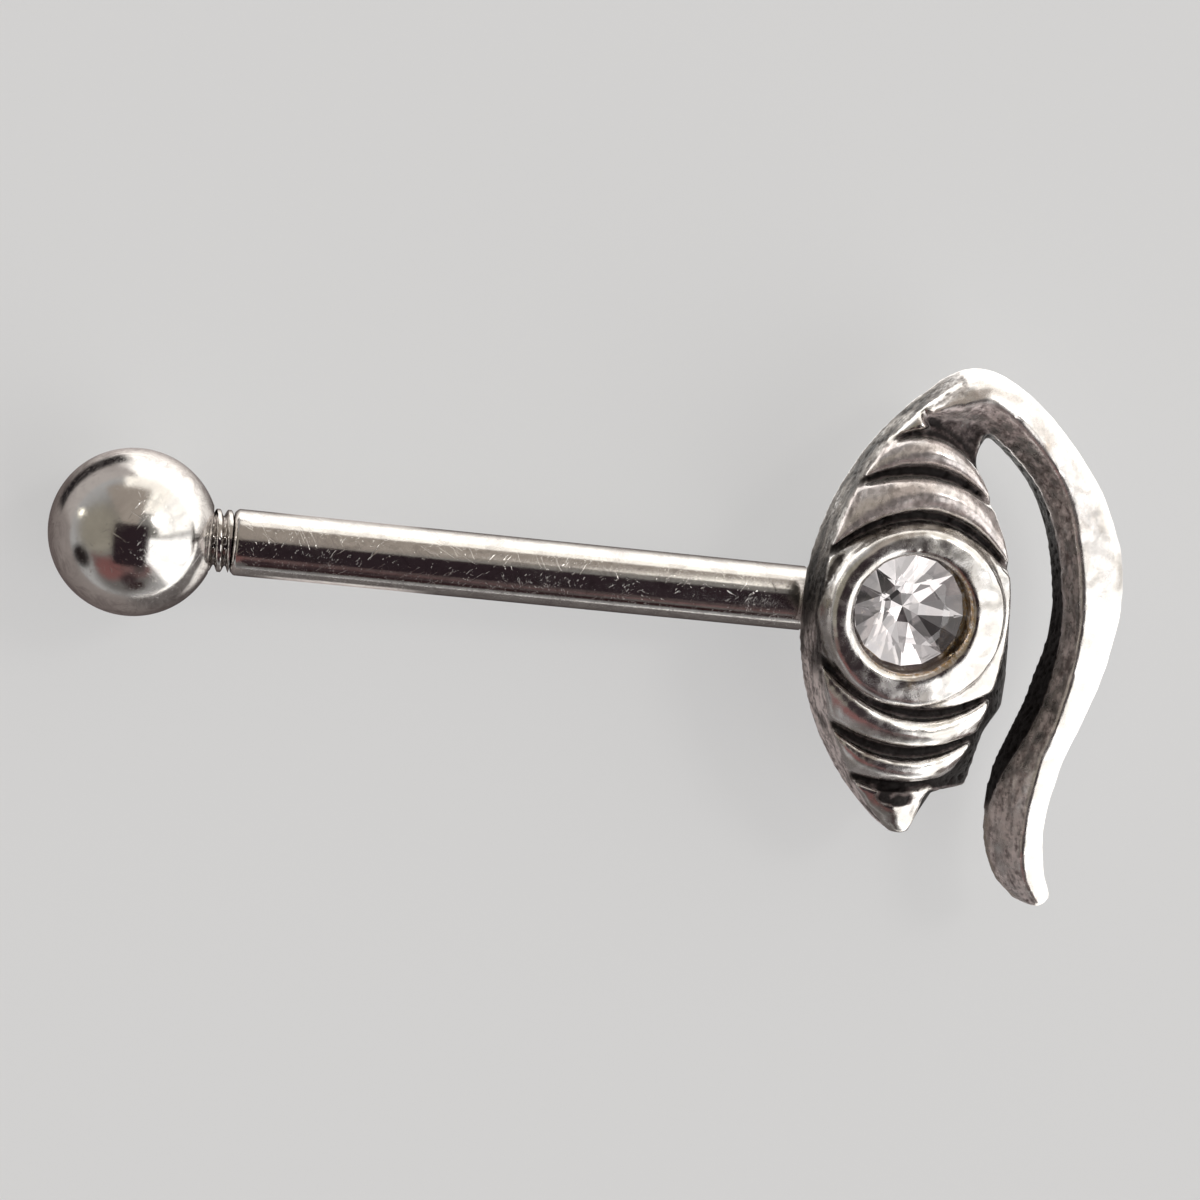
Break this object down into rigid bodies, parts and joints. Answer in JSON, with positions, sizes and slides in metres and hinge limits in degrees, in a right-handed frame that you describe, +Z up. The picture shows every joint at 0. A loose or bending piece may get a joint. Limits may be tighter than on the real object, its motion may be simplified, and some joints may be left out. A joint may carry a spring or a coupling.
{
  "type": "eyebrow barbell",
  "caption": "Straight body-jewellery barbell with a screw-on ball at one end and a cast, ribbed eye-shaped head with a curved brow and a set stone at the other.",
  "frame": {"origin": "middle of the bounding box, on the surface that the piece lies on", "axes": "+X along the bar toward the cast head, +Y up the eye toward the brow's root, +Z up out of the face"},
  "size_m": [0.0196, 0.01, 0.0032],
  "materials": {
    "oxidised_silver": "polished",
    "polished_steel": "polished",
    "clear_glass": "polished"
  },
  "bodies": {
    "barbell": {"cast_head": "oxidised_silver", "bar": "polished_steel", "stone": "clear_glass"},
    "end_ball": {"ball": "polished_steel"}
  },
  "joints": [
    {"name": "ball_unscrew", "type": "slide", "parent": "barbell", "child": "end_ball", "axis": [-0.999, 0, 0.0451], "range_m": [0, 0.012]}
  ]
}
